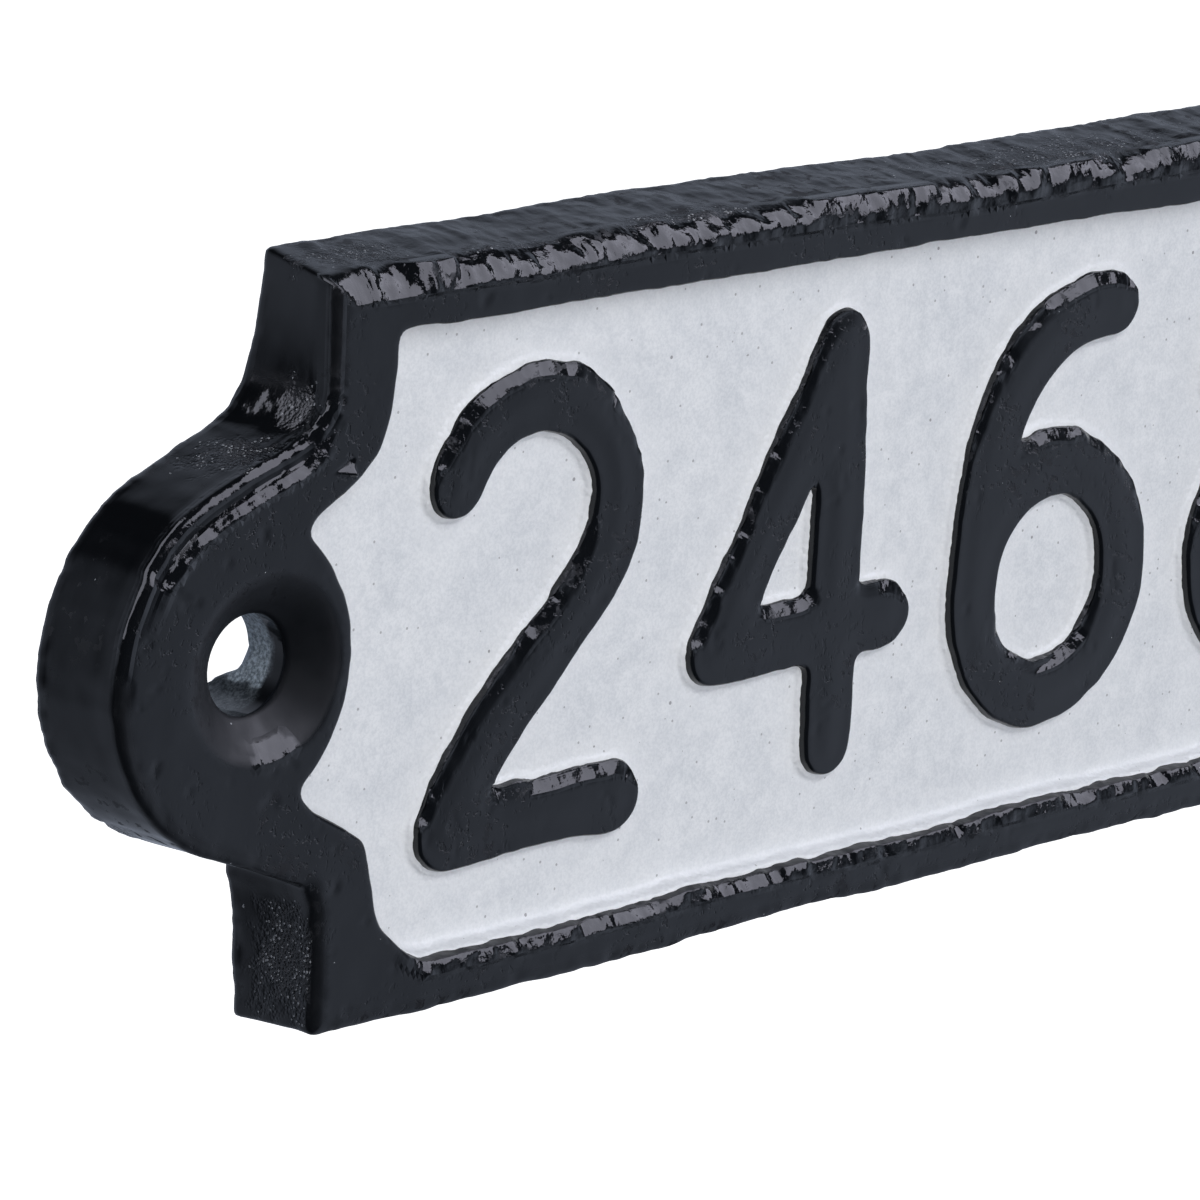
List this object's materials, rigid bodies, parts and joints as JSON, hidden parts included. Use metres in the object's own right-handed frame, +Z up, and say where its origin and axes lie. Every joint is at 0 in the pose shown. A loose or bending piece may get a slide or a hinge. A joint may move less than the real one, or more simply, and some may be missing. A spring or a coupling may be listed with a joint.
{
  "type": "cast iron sign plate",
  "caption": "Small wall sign plate in cast iron: a raised border with rounded screw lugs at both ends, and raised figures on a recessed painted field.",
  "frame": {"origin": "centre of the flat back face, halfway between the two screw holes", "axes": "+X along the sign, to the right as it is read; +Y into the wall, out of the back face; +Z up"},
  "size_m": [0.1496, 0.0077, 0.05],
  "materials": {
    "black_border_paint": "gloss",
    "black_back_paint": "satin",
    "white_field_paint": "satin",
    "black_figure_paint": "gloss"
  },
  "bodies": {
    "root": {"border": "black_border_paint", "back_panel": "black_back_paint", "white_field": "white_field_paint", "figure_2": "black_figure_paint", "figure_4": "black_figure_paint", "figure_6": "black_figure_paint", "figure_8": "black_figure_paint"}
  },
  "joints": []
}
